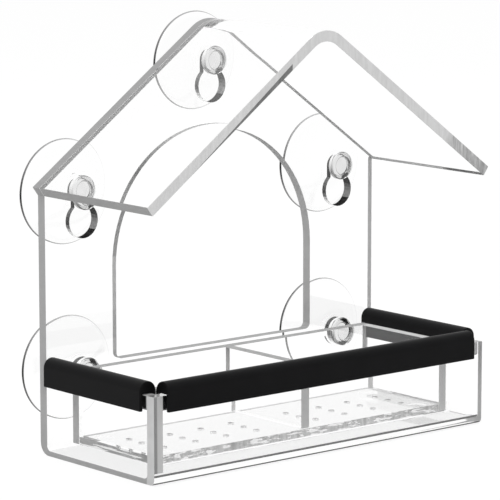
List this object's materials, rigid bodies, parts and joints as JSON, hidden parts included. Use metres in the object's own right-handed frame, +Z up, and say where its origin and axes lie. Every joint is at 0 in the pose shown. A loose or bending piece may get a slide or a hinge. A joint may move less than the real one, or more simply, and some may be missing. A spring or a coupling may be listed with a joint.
{
  "type": "window bird feeder",
  "caption": "Clear house-shaped feeder for a window pane, with a pitched roof, an arch opening, a lift-out divided seed tray, black padded perches and suction cups.",
  "frame": {"origin": "middle of the house's flat underside", "axes": "+Z up, +Y towards the window pane, -Y towards the garden, +X to the right of someone who faces the feeder from the garden"},
  "size_m": [0.2058, 0.097, 0.1977],
  "materials": {
    "clear_acrylic": "clear polished sheet with matt cut edges",
    "black_foam": "satin soft foam",
    "clear_vinyl": "clear, smooth"
  },
  "bodies": {
    "house": {"body_shell": "clear_acrylic", "roof_sheet": "clear_acrylic", "side_rail_left": "clear_acrylic", "side_rail_right": "clear_acrylic", "perch_pad_left": "black_foam", "perch_pad_front": "black_foam", "perch_pad_right": "black_foam"},
    "tray": {"tray_floor": "clear_acrylic", "tray_front_wall": "clear_acrylic", "tray_rear_wall": "clear_acrylic", "tray_left_wall": "clear_acrylic", "tray_right_wall": "clear_acrylic", "tray_divider": "clear_acrylic"},
    "cup_top": {"suction_cup_top": "clear_vinyl"},
    "cup_upper_left": {"suction_cup_upper_left": "clear_vinyl"},
    "cup_upper_right": {"suction_cup_upper_right": "clear_vinyl"},
    "cup_lower_left": {"suction_cup_lower_left": "clear_vinyl"},
    "cup_lower_right": {"suction_cup_lower_right": "clear_vinyl"}
  },
  "joints": [
    {"name": "tray_lift", "type": "slide", "parent": "house", "child": "tray", "axis": [0, 0, 1], "range_m": [0, 0.045]},
    {"name": "cup_drop_top", "type": "slide", "parent": "house", "child": "cup_top", "axis": [0, 0, -1], "range_m": [0, 0.012]},
    {"name": "cup_drop_upper_left", "type": "slide", "parent": "house", "child": "cup_upper_left", "axis": [0, 0, -1], "range_m": [0, 0.012]},
    {"name": "cup_drop_upper_right", "type": "slide", "parent": "house", "child": "cup_upper_right", "axis": [0, 0, -1], "range_m": [0, 0.012]},
    {"name": "cup_turn_lower_left", "type": "hinge", "parent": "house", "child": "cup_lower_left", "pos_m": [-0.078, 0.042, 0.0366], "axis": [0, 1, 0], "continuous": true},
    {"name": "cup_turn_lower_right", "type": "hinge", "parent": "house", "child": "cup_lower_right", "pos_m": [0.078, 0.042, 0.0366], "axis": [0, 1, 0], "continuous": true}
  ]
}
